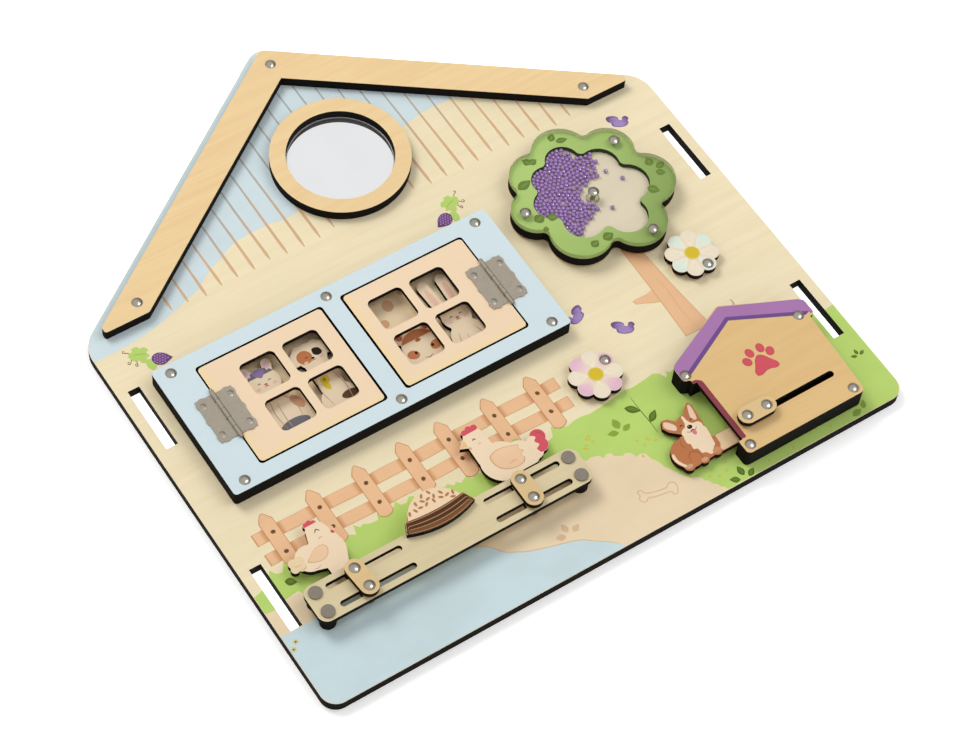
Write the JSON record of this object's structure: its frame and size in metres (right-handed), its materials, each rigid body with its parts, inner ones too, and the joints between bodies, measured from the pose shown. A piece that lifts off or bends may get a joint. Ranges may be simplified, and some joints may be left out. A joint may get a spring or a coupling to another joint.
{
  "type": "wooden busy board",
  "caption": "House-shaped layered plywood busy board with hinged doors, sliding animals, a turning bead tree, swivelling flowers and a round mirror.",
  "frame": {"origin": "centre of the board's outline on its flat back face, so the board lies on Z = 0", "axes": "+X along the bottom edge to the right as seen from the front, +Y up the house, +Z out of the printed face"},
  "size_m": [0.34, 0.3526, 0.0242],
  "materials": {
    "birch_panel": "satin",
    "printed_face": "satin print",
    "golden_birch": "satin",
    "mirror": "polished",
    "pale_blue_wood": "satin print",
    "print_wood": "satin print",
    "steel": "brushed",
    "door_print": "satin print",
    "pale_birch": "satin",
    "honey_wood": "satin print",
    "trough_print": "satin print",
    "hen_print": "satin print",
    "dog_print": "satin print",
    "washer_nylon": "matte",
    "green_print": "satin print",
    "clear_acrylic": "clear gloss",
    "hub_plastic": "matte",
    "bead_purple": "gloss",
    "petal_print": "satin print"
  },
  "bodies": {
    "board": {"back_panel": "birch_panel", "front_panel": "printed_face", "roof_trim_lower": "golden_birch", "roof_trim_upper": "golden_birch", "roof_rivets": "steel", "mirror_ring_lower": "golden_birch", "mirror_ring_upper": "golden_birch", "mirror_disc": "mirror", "window_frame_lower": "pale_blue_wood", "window_frame_middle": "pale_blue_wood", "window_frame_top": "pale_blue_wood", "window_frame_rivets": "steel", "left_room_animals": "print_wood", "right_room_animals": "print_wood", "left_hinge_frame_leaf": "steel", "right_hinge_frame_leaf": "steel", "hinge_pins": "steel", "frame_hinge_nails": "steel", "rail_plate": "pale_birch", "rail_posts": "pale_birch", "rail_pins": "steel", "trough": "trough_print", "kennel_spacer_lower": "honey_wood", "kennel_spacer_middle": "honey_wood", "kennel_spacer_upper": "honey_wood", "kennel_front": "honey_wood", "kennel_rivets": "steel", "tree_pivot": "steel", "tree_washer": "washer_nylon", "flower_rivets": "steel", "flower_washers": "washer_nylon"},
    "left_door": {"left_door": "door_print", "left_hinge_door_leaf": "steel", "left_door_nails": "steel"},
    "right_door": {"right_door": "door_print", "right_hinge_door_leaf": "steel", "right_door_nails": "steel"},
    "left_hen": {"left_hen": "hen_print", "left_hen_handle": "pale_birch", "left_hen_rivets": "steel", "left_hen_washers": "washer_nylon"},
    "right_hen": {"right_hen": "hen_print", "right_hen_handle": "pale_birch", "right_hen_rivets": "steel", "right_hen_washers": "washer_nylon"},
    "dog": {"dog": "dog_print", "dog_handle": "pale_birch", "dog_rivets": "steel", "dog_washers": "washer_nylon"},
    "tree": {"tree_back": "birch_panel", "tree_ring": "green_print", "tree_cover": "clear_acrylic", "tree_rivets": "steel", "tree_hub": "hub_plastic", "tree_beads": "bead_purple"},
    "daisy": {"daisy": "petal_print"},
    "blossom": {"blossom": "petal_print"}
  },
  "joints": [
    {"name": "left_door_hinge", "type": "hinge", "parent": "board", "child": "left_door", "pos_m": [-0.13195, -0.0172, 0.0162], "axis": [0, -1, 0], "range_deg": [0, 175]},
    {"name": "right_door_hinge", "type": "hinge", "parent": "board", "child": "right_door", "pos_m": [0.02475, -0.0196, 0.0162], "axis": [0, 1, 0], "range_deg": [0, 175]},
    {"name": "left_hen_slide", "type": "slide", "parent": "board", "child": "left_hen", "axis": [1, 0, 0], "range_m": [-0.0138, 0.0245]},
    {"name": "right_hen_slide", "type": "slide", "parent": "board", "child": "right_hen", "axis": [1, 0, 0], "range_m": [-0.019, 0.0208]},
    {"name": "dog_slide", "type": "slide", "parent": "board", "child": "dog", "axis": [1, 0, 0], "range_m": [0, 0.04]},
    {"name": "tree_turn", "type": "hinge", "parent": "board", "child": "tree", "pos_m": [0.0989, 0.0015, 0.0167], "axis": [0, 0, 1], "continuous": true},
    {"name": "daisy_turn", "type": "hinge", "parent": "board", "child": "daisy", "pos_m": [0.12705, -0.06289, 0.0092], "axis": [0, 0, 1], "continuous": true},
    {"name": "blossom_turn", "type": "hinge", "parent": "board", "child": "blossom", "pos_m": [0.04779, -0.08442, 0.0092], "axis": [0, 0, 1], "continuous": true}
  ]
}
